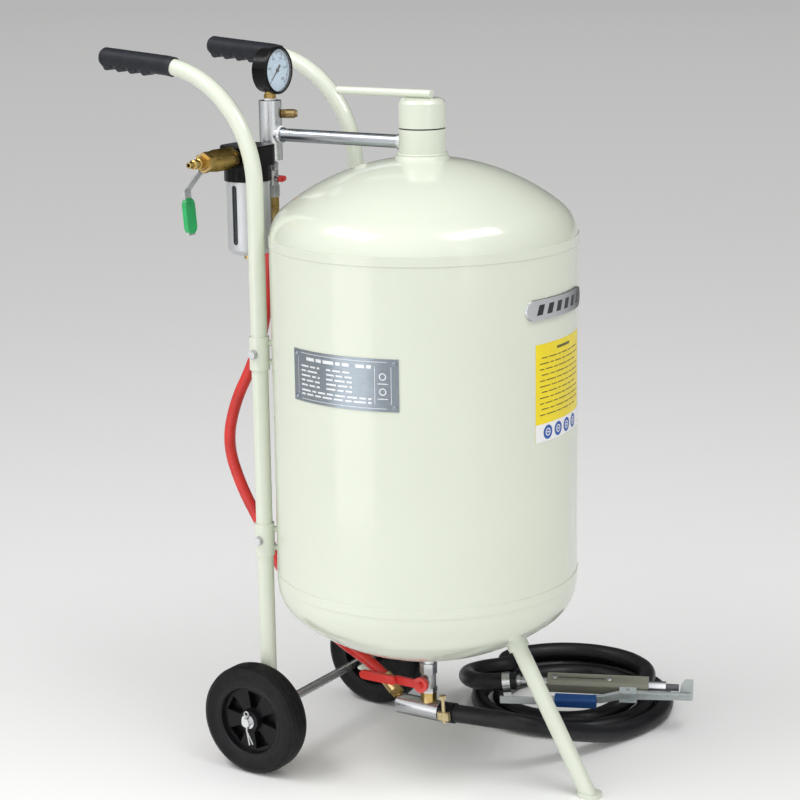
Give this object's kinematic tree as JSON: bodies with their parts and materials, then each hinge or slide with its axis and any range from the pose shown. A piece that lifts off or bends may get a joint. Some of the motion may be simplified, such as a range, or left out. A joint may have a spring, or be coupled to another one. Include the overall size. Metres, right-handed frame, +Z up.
{
  "type": "pressure pot abrasive blaster",
  "caption": "Upright steel pressure pot for abrasive blasting on two wheels and a front leg, with push handles, air line, metering valve, coiled blast hose and deadman gun.",
  "frame": {"origin": "floor level, under the middle of the stand's length and width, hose and gun left out", "axes": "+Z up, -Y the way the front leg and the gauge face look, +X the side where the coil lies"},
  "size_m": [0.629, 0.6999, 0.9602],
  "materials": {
    "paint": "gloss ivory powder coat",
    "black_rubber": "matt ribbed",
    "grip_rubber": "matt moulded",
    "tyre": "fine ribs",
    "hub_plastic": "satin moulded",
    "zinc": "zinc plated",
    "steel": "turned",
    "chrome": "bright",
    "brass": "satin",
    "plate_metal": "printed, satin",
    "label_yellow": "printed film",
    "dial": "printed",
    "lens": "clear",
    "needle": "painted",
    "black_metal": "satin black",
    "guard_metal": "silver paint",
    "bowl_clear": "clear polycarbonate",
    "element": "sintered",
    "red_lever": "red vinyl",
    "green_sleeve": "vinyl dip",
    "red_hose": "smooth",
    "black_hose": "cloth wrapped",
    "gun_cast": "cast, painted",
    "gun_channel": "pale grey",
    "blue_sleeve": "vinyl dip",
    "ceramic": "fired"
  },
  "bodies": {
    "stand": {"air_hose": "red_hose", "axle": "zinc", "badge": "chrome", "blast_hose": "black_hose", "bleed_valve": "zinc", "bottom_head": "paint", "bowl_guard": "guard_metal", "brass_fittings": "brass", "caution_label": "label_yellow", "data_plate": "plate_metal", "feed_pipe": "chrome", "fill_neck": "paint", "filter_bowl": "bowl_clear", "filter_element": "element", "filter_head": "black_metal", "fixings": "zinc", "front_leg": "paint", "gauge_case": "black_metal", "gauge_dial": "dial", "gauge_window": "lens", "gun_body": "gun_cast", "gun_hose_clamp": "zinc", "gun_pivot_pin": "steel", "gun_stem": "zinc", "hand_grips": "grip_rubber", "hose_clamp": "zinc", "hose_coil": "black_hose", "hose_tail": "black_hose", "inlet_plug": "brass", "inlet_valve": "brass", "left_handle_tube": "paint", "manifold": "chrome", "metering_valve": "zinc", "mixing_tube": "steel", "nozzle": "ceramic", "nozzle_holder": "steel", "pipe_nipples": "zinc", "relief_valve": "brass", "right_handle_tube": "paint", "tank_shell": "paint", "top_head": "paint", "tube_sleeves": "paint"},
    "left_wheel": {"left_tyre": "tyre", "left_hub": "hub_plastic"},
    "right_wheel": {"right_tyre": "tyre", "right_hub": "hub_plastic"},
    "cap_seat": {"cap_seal": "black_rubber"},
    "cap": {"fill_cap": "paint"},
    "needle": {"gauge_needle": "needle"},
    "relief_pull": {"relief_stem": "zinc"},
    "bleed_handle": {"bleed_lever": "red_lever"},
    "drain": {"bowl_drain": "brass"},
    "inlet_handle": {"inlet_ball": "chrome", "inlet_lever": "zinc", "inlet_lever_sleeve": "green_sleeve"},
    "metering_handle": {"metering_ball": "steel", "metering_lever": "red_lever"},
    "trigger": {"gun_lever": "gun_channel", "gun_lever_sleeve": "blue_sleeve", "nozzle_pad": "black_rubber"}
  },
  "joints": [
    {"name": "left_wheel_spin", "type": "hinge", "parent": "stand", "child": "left_wheel", "pos_m": [-0.151, 0.097, 0.075], "axis": [1, 0, 0], "continuous": true},
    {"name": "right_wheel_spin", "type": "hinge", "parent": "stand", "child": "right_wheel", "pos_m": [0.151, 0.097, 0.075], "axis": [1, 0, 0], "continuous": true},
    {"name": "cap_lift", "type": "slide", "parent": "stand", "child": "cap_seat", "axis": [0, 0, 1], "range_m": [0, 0.08]},
    {"name": "cap_turn", "type": "hinge", "parent": "cap_seat", "child": "cap", "pos_m": [0, -0.084, 0.87], "axis": [0, 0, 1], "continuous": true},
    {"name": "needle_turn", "type": "hinge", "parent": "stand", "child": "needle", "pos_m": [0, 0.141, 0.927], "axis": [0, 1, 0], "range_deg": [0, 270]},
    {"name": "relief_lift", "type": "slide", "parent": "stand", "child": "relief_pull", "axis": [0.5, -0.866, 0], "range_m": [0, 0.003], "stiffness_N_per_m": 600},
    {"name": "bleed_turn", "type": "hinge", "parent": "stand", "child": "bleed_handle", "pos_m": [0, 0.138, 0.783], "axis": [0, -1, 0], "range_deg": [0, 90]},
    {"name": "drain_turn", "type": "hinge", "parent": "stand", "child": "drain", "pos_m": [-0.054, 0.154, 0.685], "axis": [0, 0, 1], "range_deg": [0, 90]},
    {"name": "inlet_turn", "type": "hinge", "parent": "stand", "child": "inlet_handle", "pos_m": [-0.13, 0.154, 0.82], "axis": [0, 0.9962, -0.0872], "range_deg": [0, 90]},
    {"name": "metering_turn", "type": "hinge", "parent": "stand", "child": "metering_handle", "pos_m": [0, -0.084, 0.113], "axis": [-1, 0, 0], "range_deg": [0, 90]},
    {"name": "trigger_squeeze", "type": "hinge", "parent": "stand", "child": "trigger", "pos_m": [0.22055, -0.27546, 0.05681], "axis": [0.389, 0.1651, -0.9063], "range_deg": [0, 6], "stiffness_Nm_per_rad": 2}
  ]
}
